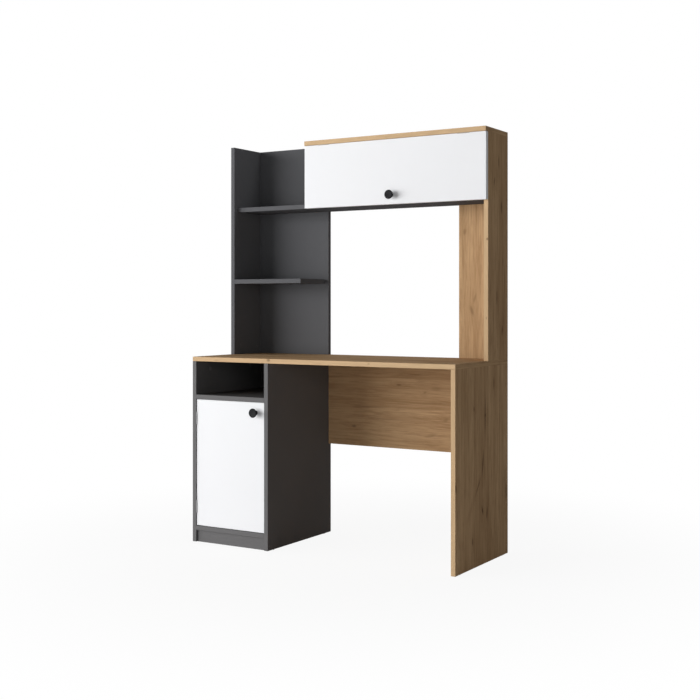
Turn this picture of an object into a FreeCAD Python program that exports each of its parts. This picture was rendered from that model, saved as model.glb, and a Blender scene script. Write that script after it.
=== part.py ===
"""Student desk with a hutch, as the separate boards, doors and fittings that it is put together from.

Millimetres, +Z up, the front faces -Y and +X is to the sitter's right.
The origin is on the floor, in the middle of the footprint.
"""
import FreeCAD
import Part
import os
from FreeCAD import Rotation
from FreeCAD import Vector

# Boards
BOARD = 18.0
THIN_BACK = 3.0
EDGE_ROUND = 0.8

# Desk
DESK_WIDTH = 1180.0
DESK_DEPTH = 460.0
DESK_HEIGHT = 750.0
PEDESTAL_WIDTH = 372.0
PLINTH_HEIGHT = 50.0
PLINTH_SET_BACK = 8.0
CUBBY_HEIGHT = 135.0
INNER_SHELF_RISE = 252.0
INNER_SHELF_SET_BACK = 45.0
INNER_SHELF_PLAY = 1.0
MODESTY_HEIGHT = 356.0
BACK_INSET = 10.0
GROOVE_DEPTH = 6.0
GROOVE_PLAY = 0.2

# Hutch
OVERALL_HEIGHT = 1626.0
HUTCH_DEPTH = 204.0
SHORT_SHELF_RISE = 299.0
SHORT_SHELF_LENGTH = 336.0
CABINET_HEIGHT = 237.0
RAIL_WIDTH = 182.0

# Doors
DOOR_SET_BACK = 3.0
DOOR_GAP = 1.5
FLAP_REST_GAP = 1.0

# Knobs
KNOB_REACH = 24.0
KNOB_HEAD_RADIUS = 18.0
KNOB_FOOT_RADIUS = 9.0
KNOB_NECK_RADIUS = 7.0
KNOB_FOOT_HEIGHT = 2.0
KNOB_NECK_HEIGHT = 8.0
KNOB_RIM_HEIGHT = 1.5
KNOB_ROUND = 3.0
KNOB_DISH = 1.2
KNOB_INSET_ON_DOOR = 40.0
KNOB_RISE_ON_FLAP = 36.0
KNOB_BORE_DEPTH = 12.0
KNOB_SCREW_RADIUS = 2.0
KNOB_SCREW_HEAD_RADIUS = 4.2
KNOB_SCREW_HEAD = 2.4

# Butt hinges
HINGE_LENGTH = 50.0
HINGE_GAP = 1.0
HINGE_LEAF = 1.2
HINGE_LEAF_WIDTH = 17.0
HINGE_KNUCKLE_RADIUS = 1.5
HINGE_KNUCKLE_CLEARANCE = 0.2
HINGE_KNUCKLE_COUNT = 5
HINGE_KNUCKLE_PLAY = 0.3
HINGE_PIN_RADIUS = 0.75
HINGE_TAB_CLEARANCE = 0.3
HINGE_INSET = 75.0
HINGE_SCREW_INSET = 10.0
HINGE_SCREW_SET_BACK = 10.5
HINGE_SCREW_RADIUS = 1.5
HINGE_SCREW_HEAD_RADIUS = 2.5
HINGE_SCREW_HEAD = 1.1
HINGE_SCREW_LENGTH = 14.0

# Flap stays
STAY_HOUSING = 10.0
STAY_HOUSING_LENGTH = 84.0
STAY_HOUSING_HEIGHT = 44.0
STAY_HOUSING_ROUND = 6.0
STAY_HOUSING_SET_BACK = 10.0
STAY_STEEL = 3.0
STAY_PLAY = 0.5
STAY_PIVOT_BACK = 62.0
STAY_PIVOT_DROP = 26.0
STAY_ARM_BACK = 36.0
STAY_ARM_DROP = 75.0
STAY_LEVER_RADIUS = 9.0
STAY_LINK_RADIUS = 7.0
STAY_PIVOT_RADIUS = 4.0
STAY_PIN_RADIUS = 3.0
STAY_PIN_HEAD = 1.2
STAY_PIN_HEAD_LAP = 2.0
STAY_OPEN_PLAY = 0.3
STAY_FOOT_WIDTH = 24.0
STAY_FOOT_HEIGHT = 56.0
STAY_FOOT_STEEL = 2.0
STAY_SCREW_INSET = 9.0

# Fasteners and feet
DOWEL_RADIUS = 4.0
DOWEL_IN_FACE = 8.0
DOWEL_IN_EDGE = 20.0
CAM_RADIUS = 7.5
CAM_DEPTH = 13.0
CAM_INSET = 34.0
CAM_CROSS_LENGTH = 9.0
CAM_CROSS_WIDTH = 1.6
CAM_CROSS_DEPTH = 1.5
CAM_BOLT_RADIUS = 3.5
CAM_BOLT_THREAD_RADIUS = 3.0
CAM_BOLT_PLAY = 0.3
SHELF_PIN_RADIUS = 2.5
SHELF_PIN_IN_BOARD = 8.0
SHELF_PIN_OUT = 8.0
GLIDE_HEIGHT = 2.0
GLIDE_RADIUS = 7.0
GLIDE_ROUND = 0.8
GLIDE_NAIL_RADIUS = 1.2
GLIDE_NAIL_LENGTH = 14.0
SEAT_PLAY = 0.1
RUNNING_PLAY = 0.05
OVERRUN = 1.0

# Shape of the knob between its named sizes
KNOB_EASE_SHARE = 0.3
KNOB_CORNER_SHARE = 0.7071
FULL_TURN = 360.0

# Places of the fasteners, as shares of the joint that they hold
CAM_SHARES = (0.2, 0.8)
DOWEL_SHARES = (0.38, 0.62)
SHELF_PIN_SHARES = (0.12, 0.88)
GLIDE_SHARES = (0.1, 0.9)

# Places worked out from the sizes
HINGE_AXIS_OUT = HINGE_KNUCKLE_RADIUS + HINGE_KNUCKLE_CLEARANCE
KNOB_OUT = KNOB_REACH - DOOR_SET_BACK
LEFT = -DESK_WIDTH / 2
RIGHT = DESK_WIDTH / 2
BACK = (DESK_DEPTH + KNOB_OUT) / 2
FRONT = BACK - DESK_DEPTH
DESK_UNDERSIDE = DESK_HEIGHT - BOARD
PEDESTAL_RIGHT = LEFT + PEDESTAL_WIDTH
PEDESTAL_IN_LEFT = LEFT + BOARD
PEDESTAL_IN_RIGHT = PEDESTAL_RIGHT - BOARD
PEDESTAL_FLOOR = PLINTH_HEIGHT + BOARD
CUBBY_FLOOR = DESK_UNDERSIDE - CUBBY_HEIGHT
CUBBY_UNDERSIDE = CUBBY_FLOOR - BOARD
LEG_LEFT = RIGHT - BOARD
REAR_BOARD_FRONT = BACK - BOARD
THIN_BACK_REAR = BACK - BACK_INSET
THIN_BACK_FRONT = THIN_BACK_REAR - THIN_BACK
DOOR_FRONT = FRONT + DOOR_SET_BACK
DOOR_LEFT = PEDESTAL_IN_LEFT + HINGE_GAP
DOOR_RIGHT = PEDESTAL_IN_RIGHT - DOOR_GAP
DOOR_BOTTOM = PEDESTAL_FLOOR + DOOR_GAP
DOOR_TOP = CUBBY_UNDERSIDE - DOOR_GAP
HUTCH_FRONT = BACK - HUTCH_DEPTH
FLAP_FRONT = HUTCH_FRONT + DOOR_SET_BACK
FLAP_BACK = FLAP_FRONT + BOARD
CABINET_FRONT = FLAP_BACK + FLAP_REST_GAP
SHORT_SHELF_UNDERSIDE = DESK_HEIGHT + SHORT_SHELF_RISE
CABINET_CEILING = OVERALL_HEIGHT - BOARD
LONG_SHELF_TOP = CABINET_CEILING - CABINET_HEIGHT
LONG_SHELF_UNDERSIDE = LONG_SHELF_TOP - BOARD
CABINET_LEFT = PEDESTAL_RIGHT
CABINET_IN_LEFT = CABINET_LEFT + BOARD
RAIL_LEFT = LEG_LEFT - RAIL_WIDTH
FLAP_TOP = CABINET_CEILING - HINGE_GAP
DOOR_AXIS = Vector(PEDESTAL_IN_LEFT + HINGE_AXIS_OUT, DOOR_FRONT - HINGE_AXIS_OUT, 0)
FLAP_AXIS = Vector(0, FLAP_FRONT - HINGE_AXIS_OUT, CABINET_CEILING - HINGE_AXIS_OUT)
DOOR_HINGE_HEIGHTS = (DOOR_BOTTOM + HINGE_INSET, DOOR_TOP - HINGE_INSET)
FLAP_HINGE_PLACES = (CABINET_LEFT + HINGE_INSET + BOARD, RIGHT - HINGE_INSET - BOARD)
STAY_PIVOT = FLAP_AXIS + Vector(0, STAY_PIVOT_BACK, -STAY_PIVOT_DROP)
STAY_ARM = FLAP_AXIS + Vector(0, STAY_ARM_BACK, -STAY_ARM_DROP)
STAY_ELBOW = STAY_PIVOT + STAY_ARM - FLAP_AXIS

X_AXIS = Vector(1, 0, 0)
Y_AXIS = Vector(0, 1, 0)
Z_AXIS = Vector(0, 0, 1)

solids = {}
holes = {}


def add(node, *shapes):
    """Put solids into a node."""
    solids.setdefault(node, []).extend(shapes)


def drill(node, *tools):
    """Note what is cut out of a node once all of it is known."""
    holes.setdefault(node, []).extend(tools)


def block(low, high):
    """A box between two corners."""
    size = high - low
    return Part.makeBox(size.x, size.y, size.z, low)


def board(node, x_range, y_range, z_range):
    """A board with eased edges, as a node of its own."""
    low = Vector(x_range[0], y_range[0], z_range[0])
    high = Vector(x_range[1], y_range[1], z_range[1])
    plain = block(low, high)
    add(node, plain.makeFillet(EDGE_ROUND, plain.Edges))


def rod(start, direction, radius, length):
    """A round bar from a point along a direction."""
    return Part.makeCylinder(radius, length, start, direction)


def placed(shape, origin, x_axis, z_axis):
    """A copy of a shape, moved from the origin and turned to the given axes."""
    copy = shape.copy()
    copy.Placement = FreeCAD.Placement(origin, Rotation(x_axis, z_axis.cross(x_axis), z_axis, "XYZ"))
    return copy


def cam_lock():
    """A cam lock with its face at z 0 and its bolt coming from +X, half a board down."""
    disc = rod(Vector(0, 0, -CAM_DEPTH), Z_AXIS, CAM_RADIUS, CAM_DEPTH)
    mouth = rod(Vector(0, 0, -BOARD / 2), X_AXIS, CAM_BOLT_RADIUS + CAM_BOLT_PLAY, CAM_RADIUS + OVERRUN)
    socket = Part.makeSphere(CAM_BOLT_RADIUS + CAM_BOLT_PLAY, Vector(0, 0, -BOARD / 2))
    half = Vector(CAM_CROSS_LENGTH / 2, CAM_CROSS_WIDTH / 2, 0)
    slot = block(Vector(-half.x, -half.y, -CAM_CROSS_DEPTH), Vector(half.x, half.y, OVERRUN))
    cross = block(Vector(-half.y, -half.x, -CAM_CROSS_DEPTH), Vector(half.y, half.x, OVERRUN))
    return disc.cut([mouth, socket, slot, cross])


CAM_LOCK = cam_lock()


def dowel(edge_board, face_board, place, inward):
    """A dowel from the face of one board into the end of another."""
    start = place - inward * DOWEL_IN_FACE
    length = DOWEL_IN_FACE + DOWEL_IN_EDGE
    bore = rod(start - inward * SEAT_PLAY, inward, DOWEL_RADIUS + SEAT_PLAY, length + 2 * SEAT_PLAY)
    add("dowels", rod(start, inward, DOWEL_RADIUS, length))
    drill(edge_board, bore)
    drill(face_board, bore)


def cam(edge_board, face_board, place, inward, cam_face):
    """A cam lock in the end of one board, and its bolt in the face of the other."""
    centre = place + inward * CAM_INSET + cam_face * (BOARD / 2)
    thread_start = place - inward * DOWEL_IN_FACE
    thread = rod(thread_start, inward, CAM_BOLT_THREAD_RADIUS, DOWEL_IN_FACE)
    shank = rod(place, inward, CAM_BOLT_RADIUS, CAM_INSET)
    add("cam_locks", placed(CAM_LOCK, centre, -inward, cam_face))
    add("cam_bolts", thread.fuse(shank).removeSplitter())
    pocket_floor = centre - cam_face * (CAM_DEPTH + SEAT_PLAY)
    drill(edge_board, rod(pocket_floor, cam_face, CAM_RADIUS + SEAT_PLAY, CAM_DEPTH + SEAT_PLAY + OVERRUN))
    drill(edge_board, rod(place - inward * OVERRUN, inward, CAM_BOLT_RADIUS + SEAT_PLAY, CAM_INSET + OVERRUN))
    bore_start = thread_start - inward * SEAT_PLAY
    bore_length = DOWEL_IN_FACE + SEAT_PLAY + OVERRUN
    drill(face_board, rod(bore_start, inward, CAM_BOLT_THREAD_RADIUS + SEAT_PLAY, bore_length))


def fasten(edge_board, face_board, start, end, inward, cam_face):
    """Join the end of one board to the face of another, along the middle of that end."""
    for share in DOWEL_SHARES:
        dowel(edge_board, face_board, start + (end - start) * share, inward)
    for share in CAM_SHARES:
        cam(edge_board, face_board, start + (end - start) * share, inward, cam_face)


def peg(edge_board, face_board, start, end, inward):
    """Join the end of one board to the face of another with dowels alone."""
    for share in DOWEL_SHARES:
        dowel(edge_board, face_board, start + (end - start) * share, inward)


def desk_boards():
    """The desktop, the pedestal's case, the right leg and the modesty panel."""
    upright = (GLIDE_HEIGHT, DESK_UNDERSIDE)
    depth = (FRONT, BACK)
    inside = (PEDESTAL_IN_LEFT, PEDESTAL_IN_RIGHT)
    to_back = (FRONT, THIN_BACK_FRONT)
    board("desktop", (LEFT, RIGHT), depth, (DESK_UNDERSIDE, DESK_HEIGHT))
    board("pedestal_left_side", (LEFT, PEDESTAL_IN_LEFT), depth, upright)
    board("pedestal_right_side", (PEDESTAL_IN_RIGHT, PEDESTAL_RIGHT), depth, upright)
    board("right_leg", (LEG_LEFT, RIGHT), depth, upright)
    board("pedestal_bottom", inside, to_back, (PLINTH_HEIGHT, PEDESTAL_FLOOR))
    board("pedestal_shelf", inside, to_back, (CUBBY_UNDERSIDE, CUBBY_FLOOR))
    plinth_front = FRONT + PLINTH_SET_BACK
    board("pedestal_plinth", inside, (plinth_front, plinth_front + BOARD), (GLIDE_HEIGHT, PLINTH_HEIGHT))
    modesty_bottom = DESK_UNDERSIDE - MODESTY_HEIGHT
    modesty_height = (modesty_bottom, DESK_UNDERSIDE)
    board("modesty_panel", (PEDESTAL_RIGHT, LEG_LEFT), (REAR_BOARD_FRONT, BACK), modesty_height)


def hutch_boards():
    """The open shelves on the left and the case of the flap cabinet."""
    rear = (REAR_BOARD_FRONT, BACK)
    cabinet = (CABINET_FRONT, BACK)
    bay = (PEDESTAL_IN_LEFT, CABINET_LEFT)
    below = (DESK_HEIGHT, LONG_SHELF_UNDERSIDE)
    short_right = PEDESTAL_IN_LEFT + SHORT_SHELF_LENGTH
    short_height = (SHORT_SHELF_UNDERSIDE, SHORT_SHELF_UNDERSIDE + BOARD)
    inside = (LONG_SHELF_TOP, CABINET_CEILING)
    board("hutch_left_side", (LEFT, PEDESTAL_IN_LEFT), (HUTCH_FRONT, BACK), (DESK_HEIGHT, OVERALL_HEIGHT))
    board("hutch_lower_back", bay, rear, below)
    board("hutch_upper_back", bay, rear, (LONG_SHELF_TOP, OVERALL_HEIGHT))
    board("hutch_short_shelf", (PEDESTAL_IN_LEFT, short_right), (HUTCH_FRONT, REAR_BOARD_FRONT), short_height)
    board("hutch_long_shelf", (PEDESTAL_IN_LEFT, LEG_LEFT), cabinet, (LONG_SHELF_UNDERSIDE, LONG_SHELF_TOP))
    board("hutch_right_side", (LEG_LEFT, RIGHT), cabinet, (DESK_HEIGHT, CABINET_CEILING))
    board("hutch_right_rail", (RAIL_LEFT, LEG_LEFT), rear, below)
    board("cabinet_left_side", (CABINET_LEFT, CABINET_IN_LEFT), cabinet, inside)
    board("cabinet_top", (CABINET_LEFT, RIGHT), (HUTCH_FRONT, BACK), (CABINET_CEILING, OVERALL_HEIGHT))


def thin_back(node, x_range, z_range, left_board, right_board):
    """A thin back panel, held in a groove of the board on each side."""
    reach = GROOVE_DEPTH - GROOVE_PLAY
    low = Vector(x_range[0] - reach, THIN_BACK_FRONT, z_range[0])
    high = Vector(x_range[1] + reach, THIN_BACK_REAR, z_range[1])
    add(node, block(low, high))
    for side, outer, inner in ((left_board, -GROOVE_DEPTH, OVERRUN), (right_board, -OVERRUN, GROOVE_DEPTH)):
        edge = x_range[0] if side == left_board else x_range[1]
        groove_low = Vector(edge + outer, THIN_BACK_FRONT - GROOVE_PLAY, z_range[0])
        groove_high = Vector(edge + inner, THIN_BACK_REAR + GROOVE_PLAY, z_range[1])
        drill(side, block(groove_low, groove_high))


def inner_shelf():
    """The loose shelf behind the pedestal's door, on four pins."""
    underside = PEDESTAL_FLOOR + INNER_SHELF_RISE
    x_range = (PEDESTAL_IN_LEFT + INNER_SHELF_PLAY, PEDESTAL_IN_RIGHT - INNER_SHELF_PLAY)
    y_range = (FRONT + INNER_SHELF_SET_BACK, THIN_BACK_FRONT - INNER_SHELF_PLAY)
    board("pedestal_inner_shelf", x_range, y_range, (underside, underside + BOARD))
    length = SHELF_PIN_IN_BOARD + SHELF_PIN_OUT
    sides = (
        ("pedestal_left_side", PEDESTAL_IN_LEFT, X_AXIS),
        ("pedestal_right_side", PEDESTAL_IN_RIGHT, -X_AXIS),
    )
    for side, face, inward in sides:
        for share in SHELF_PIN_SHARES:
            y = y_range[0] + (y_range[1] - y_range[0]) * share
            start = Vector(face, y, underside - SHELF_PIN_RADIUS) - inward * SHELF_PIN_IN_BOARD
            add("shelf_pins", rod(start, inward, SHELF_PIN_RADIUS, length))
            drill(side, rod(start - inward * SEAT_PLAY, inward, SHELF_PIN_RADIUS + SEAT_PLAY, length))


def desk_joints():
    """Dowels and cam locks of the desk."""
    half = BOARD / 2
    rear = BACK - half
    sides = (
        ("pedestal_left_side", PEDESTAL_IN_LEFT, X_AXIS),
        ("pedestal_right_side", PEDESTAL_IN_RIGHT, -X_AXIS),
    )
    for side, face, inward in sides:
        for shelf, z, cam_face in (
            ("pedestal_bottom", PEDESTAL_FLOOR - half, -Z_AXIS),
            ("pedestal_shelf", CUBBY_FLOOR - half, -Z_AXIS),
        ):
            fasten(shelf, side, Vector(face, FRONT, z), Vector(face, THIN_BACK_FRONT, z), inward, cam_face)
        plinth_y = FRONT + PLINTH_SET_BACK + half
        foot = Vector(face, plinth_y, GLIDE_HEIGHT)
        peg("pedestal_plinth", side, foot, Vector(face, plinth_y, PLINTH_HEIGHT), inward)
    for upright, x, cam_face in (
        ("pedestal_left_side", LEFT + half, X_AXIS),
        ("pedestal_right_side", PEDESTAL_RIGHT - half, -X_AXIS),
        ("right_leg", RIGHT - half, -X_AXIS),
    ):
        start = Vector(x, FRONT, DESK_UNDERSIDE)
        fasten(upright, "desktop", start, Vector(x, BACK, DESK_UNDERSIDE), -Z_AXIS, cam_face)
    modesty_bottom = DESK_UNDERSIDE - MODESTY_HEIGHT
    for side, face, inward in (
        ("pedestal_right_side", PEDESTAL_RIGHT, X_AXIS),
        ("right_leg", LEG_LEFT, -X_AXIS),
    ):
        low = Vector(face, rear, modesty_bottom)
        fasten("modesty_panel", side, low, Vector(face, rear, DESK_UNDERSIDE), inward, Y_AXIS)
    start = Vector(PEDESTAL_RIGHT, rear, DESK_UNDERSIDE)
    fasten("modesty_panel", "desktop", start, Vector(LEG_LEFT, rear, DESK_UNDERSIDE), -Z_AXIS, Y_AXIS)


def hutch_joints():
    """Dowels and cam locks of the hutch."""
    half = BOARD / 2
    rear = BACK - half
    short_z = SHORT_SHELF_UNDERSIDE + half
    long_z = LONG_SHELF_UNDERSIDE + half
    short_right = PEDESTAL_IN_LEFT + SHORT_SHELF_LENGTH
    left_x = LEFT + half
    right_x = RIGHT - half
    divider_x = CABINET_LEFT + half

    def along_depth(edge_board, face_board, x, z, inward, cam_face, front):
        fasten(edge_board, face_board, Vector(x, front, z), Vector(x, BACK, z), inward, cam_face)

    def along_width(edge_board, x_range, z, face_board, inward):
        start = Vector(x_range[0], rear, z)
        fasten(edge_board, face_board, start, Vector(x_range[1], rear, z), inward, Y_AXIS)

    def along_height(edge_board, face_board, x, z_range, inward):
        start = Vector(x, rear, z_range[0])
        fasten(edge_board, face_board, start, Vector(x, rear, z_range[1]), inward, Y_AXIS)

    bay = (PEDESTAL_IN_LEFT, CABINET_LEFT)
    rail = (RAIL_LEFT, LEG_LEFT)
    below = (DESK_HEIGHT, LONG_SHELF_UNDERSIDE)
    along_depth("hutch_left_side", "desktop", left_x, DESK_HEIGHT, Z_AXIS, X_AXIS, HUTCH_FRONT)
    along_depth("hutch_right_side", "desktop", right_x, DESK_HEIGHT, Z_AXIS, -X_AXIS, CABINET_FRONT)
    along_depth("hutch_right_side", "cabinet_top", right_x, CABINET_CEILING, -Z_AXIS, -X_AXIS, CABINET_FRONT)
    along_depth(
        "cabinet_left_side", "cabinet_top", divider_x, CABINET_CEILING, -Z_AXIS, X_AXIS, CABINET_FRONT)
    along_depth(
        "cabinet_left_side", "hutch_long_shelf", divider_x, LONG_SHELF_TOP, Z_AXIS, X_AXIS, CABINET_FRONT)
    along_depth(
        "hutch_long_shelf", "hutch_left_side", PEDESTAL_IN_LEFT, long_z, X_AXIS, Z_AXIS, CABINET_FRONT)
    along_depth("hutch_long_shelf", "hutch_right_side", LEG_LEFT, long_z, -X_AXIS, Z_AXIS, CABINET_FRONT)
    along_width("hutch_lower_back", bay, DESK_HEIGHT, "desktop", Z_AXIS)
    along_width("hutch_right_rail", rail, DESK_HEIGHT, "desktop", Z_AXIS)
    along_width("hutch_lower_back", bay, LONG_SHELF_UNDERSIDE, "hutch_long_shelf", -Z_AXIS)
    along_width("hutch_right_rail", rail, LONG_SHELF_UNDERSIDE, "hutch_long_shelf", -Z_AXIS)
    along_width("hutch_upper_back", bay, LONG_SHELF_TOP, "hutch_long_shelf", Z_AXIS)
    along_height("hutch_lower_back", "hutch_left_side", PEDESTAL_IN_LEFT, below, X_AXIS)
    along_height("hutch_right_rail", "hutch_right_side", LEG_LEFT, below, -X_AXIS)
    above = (LONG_SHELF_TOP, OVERALL_HEIGHT)
    along_height("hutch_upper_back", "hutch_left_side", PEDESTAL_IN_LEFT, above, X_AXIS)
    divider_low = Vector(CABINET_LEFT, rear, LONG_SHELF_TOP)
    divider_high = Vector(CABINET_LEFT, rear, CABINET_CEILING)
    peg("hutch_upper_back", "cabinet_left_side", divider_low, divider_high, -X_AXIS)
    start = Vector(PEDESTAL_IN_LEFT, HUTCH_FRONT, short_z)
    end = Vector(PEDESTAL_IN_LEFT, REAR_BOARD_FRONT, short_z)
    fasten("hutch_short_shelf", "hutch_left_side", start, end, X_AXIS, -Z_AXIS)
    start = Vector(PEDESTAL_IN_LEFT, REAR_BOARD_FRONT, short_z)
    end = Vector(short_right, REAR_BOARD_FRONT, short_z)
    fasten("hutch_short_shelf", "hutch_lower_back", start, end, -Y_AXIS, -Z_AXIS)


def knob(door, prefix, place):
    """A round knob on a door's front, and the screw that holds it from behind."""
    head_under = KNOB_REACH - KNOB_ROUND - KNOB_RIM_HEIGHT
    rim_end = KNOB_REACH - KNOB_ROUND
    face_radius = KNOB_HEAD_RADIUS - KNOB_ROUND
    neck_low = KNOB_FOOT_HEIGHT + (KNOB_NECK_HEIGHT - KNOB_FOOT_HEIGHT) / 2
    middle = (KNOB_FOOT_RADIUS + KNOB_NECK_RADIUS) / 2
    waist = middle - KNOB_EASE_SHARE * (KNOB_FOOT_RADIUS - KNOB_NECK_RADIUS)
    flare_radius = KNOB_NECK_RADIUS + KNOB_EASE_SHARE * (KNOB_HEAD_RADIUS - KNOB_NECK_RADIUS)
    flare_height = head_under - KNOB_EASE_SHARE * (head_under - KNOB_NECK_HEIGHT)
    corner = KNOB_ROUND * KNOB_CORNER_SHARE

    def at(radius, height):
        return Vector(radius, -height, 0)

    outline = [
        Part.LineSegment(at(0, 0), at(KNOB_FOOT_RADIUS, 0)),
        Part.LineSegment(at(KNOB_FOOT_RADIUS, 0), at(KNOB_FOOT_RADIUS, KNOB_FOOT_HEIGHT)),
        Part.Arc(
            at(KNOB_FOOT_RADIUS, KNOB_FOOT_HEIGHT),
            at(waist, neck_low),
            at(KNOB_NECK_RADIUS, KNOB_NECK_HEIGHT),
        ),
        Part.Arc(
            at(KNOB_NECK_RADIUS, KNOB_NECK_HEIGHT),
            at(flare_radius, flare_height),
            at(KNOB_HEAD_RADIUS, head_under),
        ),
        Part.LineSegment(at(KNOB_HEAD_RADIUS, head_under), at(KNOB_HEAD_RADIUS, rim_end)),
        Part.Arc(
            at(KNOB_HEAD_RADIUS, rim_end),
            at(face_radius + corner, rim_end + corner),
            at(face_radius, KNOB_REACH),
        ),
        Part.LineSegment(at(face_radius, KNOB_REACH), at(0, KNOB_REACH - KNOB_DISH)),
        Part.LineSegment(at(0, KNOB_REACH - KNOB_DISH), at(0, 0)),
    ]
    profile = Part.Face(Part.Wire([curve.toShape() for curve in outline]))
    turned = profile.revolve(Vector(0, 0, 0), Y_AXIS, FULL_TURN)
    turned.translate(place)
    add(prefix + "_knob", turned)
    door_back = place + Y_AXIS * BOARD
    shank_length = BOARD + KNOB_BORE_DEPTH - OVERRUN
    shank = rod(door_back, -Y_AXIS, KNOB_SCREW_RADIUS, shank_length)
    head = rod(door_back, Y_AXIS, KNOB_SCREW_HEAD_RADIUS, KNOB_SCREW_HEAD)
    add(prefix + "_knob_screw", head.fuse(shank).removeSplitter())
    bore = KNOB_SCREW_RADIUS + SEAT_PLAY
    drill(door, rod(door_back + Y_AXIS * OVERRUN, -Y_AXIS, bore, BOARD + 2 * OVERRUN))
    drill(prefix + "_knob", rod(place + Y_AXIS * OVERRUN, -Y_AXIS, bore, KNOB_BORE_DEPTH + OVERRUN))


def hinge_screw(face_place, direction):
    """A countersunk screw with its head flush in a hinge leaf."""
    head = Part.makeCone(HINGE_SCREW_HEAD_RADIUS, HINGE_SCREW_RADIUS, HINGE_SCREW_HEAD, face_place, direction)
    shank = rod(face_place + direction * HINGE_SCREW_HEAD, direction, HINGE_SCREW_RADIUS, HINGE_SCREW_LENGTH)
    return head.fuse(shank).removeSplitter()


def hinge_screw_hole(face_place, direction):
    """The room that such a screw takes in a leaf and in the board behind it."""
    wide = HINGE_SCREW_HEAD_RADIUS + RUNNING_PLAY
    narrow = HINGE_SCREW_RADIUS + RUNNING_PLAY
    mouth = rod(face_place - direction * OVERRUN, direction, wide, OVERRUN)
    head = Part.makeCone(wide, narrow, HINGE_SCREW_HEAD, face_place, direction)
    shank_place = face_place + direction * HINGE_SCREW_HEAD
    shank = rod(shank_place, direction, narrow, HINGE_SCREW_LENGTH + RUNNING_PLAY)
    return mouth.fuse([head, shank])


def hinge_leaf(plate, own, tab_low, tab_high):
    """A hinge leaf: its plate and its own knuckles, each on a tab, with the pin along z in front of the door."""
    half = HINGE_LENGTH / 2
    pitch = HINGE_LENGTH / HINGE_KNUCKLE_COUNT
    leaf = plate
    for index in own:
        low = index * pitch - half + HINGE_KNUCKLE_PLAY / 2
        length = pitch - HINGE_KNUCKLE_PLAY
        knuckle = rod(Vector(HINGE_AXIS_OUT, 0, low), Z_AXIS, HINGE_KNUCKLE_RADIUS, length)
        tab = block(tab_low + Z_AXIS * low, tab_high + Z_AXIS * (low + length))
        leaf = leaf.fuse([knuckle, tab])
    bore_start = Vector(HINGE_AXIS_OUT, 0, -half - OVERRUN)
    bore = rod(bore_start, Z_AXIS, HINGE_PIN_RADIUS + RUNNING_PLAY, HINGE_LENGTH + 2 * OVERRUN)
    return leaf.cut(bore).removeSplitter()


def butt_hinge(fixed_board, door, prefix, place, x_axis, z_axis):
    """A butt hinge: a leaf let into the fixed board, a leaf let into the door's edge, the pin and the screws.

    x_axis points from the fixed board's face, at x 0, to the door, and z_axis along the pin, at y 0.
    """
    half = HINGE_LENGTH / 2
    seat_half = half + SEAT_PLAY
    seat_end = HINGE_LEAF_WIDTH + SEAT_PLAY
    door_floor = HINGE_GAP + HINGE_LEAF
    door_tab = HINGE_PIN_RADIUS + HINGE_TAB_CLEARANCE
    fixed_knuckles = range(0, HINGE_KNUCKLE_COUNT, 2)
    door_knuckles = range(1, HINGE_KNUCKLE_COUNT, 2)
    fixed_plate = block(Vector(-HINGE_LEAF, 0, -half), Vector(0, HINGE_LEAF_WIDTH, half))
    door_plate = block(Vector(HINGE_GAP, HINGE_AXIS_OUT, -half), Vector(door_floor, HINGE_LEAF_WIDTH, half))
    fixed_seat = block(Vector(-HINGE_LEAF, -SEAT_PLAY, -seat_half), Vector(OVERRUN, seat_end, seat_half))
    door_front = Vector(HINGE_GAP - OVERRUN, HINGE_AXIS_OUT - OVERRUN, -seat_half)
    door_seat = block(door_front, Vector(door_floor, seat_end, seat_half))
    fixed_leaf = hinge_leaf(
        fixed_plate, fixed_knuckles, Vector(-HINGE_LEAF, 0, 0), Vector(HINGE_AXIS_OUT, HINGE_LEAF, 0))
    door_leaf = hinge_leaf(
        door_plate, door_knuckles, Vector(HINGE_GAP, door_tab, 0), Vector(door_floor, HINGE_AXIS_OUT, 0))
    screw_reach = half - HINGE_SCREW_INSET

    def here(shape):
        return placed(shape, place, x_axis, z_axis)

    drill(fixed_board, here(fixed_seat))
    drill(door, here(door_seat))
    for z in (-screw_reach, screw_reach):
        fixed_place = Vector(0, HINGE_SCREW_SET_BACK, z)
        door_place = Vector(HINGE_GAP, HINGE_SCREW_SET_BACK, z)
        fixed_hole = hinge_screw_hole(fixed_place, -X_AXIS)
        door_hole = hinge_screw_hole(door_place, X_AXIS)
        fixed_leaf = fixed_leaf.cut(fixed_hole)
        door_leaf = door_leaf.cut(door_hole)
        add("hinge_frame_screws", here(hinge_screw(fixed_place, -X_AXIS)))
        add(prefix + "_hinge_screws", here(hinge_screw(door_place, X_AXIS)))
        drill(fixed_board, here(fixed_hole))
        drill(door, here(door_hole))
    pin = rod(Vector(HINGE_AXIS_OUT, 0, -half), Z_AXIS, HINGE_PIN_RADIUS, HINGE_LENGTH)
    add(prefix + "_hinge_frame_leaves", here(fixed_leaf))
    add(prefix + "_hinge_leaves", here(door_leaf))
    add("hinge_pins", here(pin))


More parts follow.
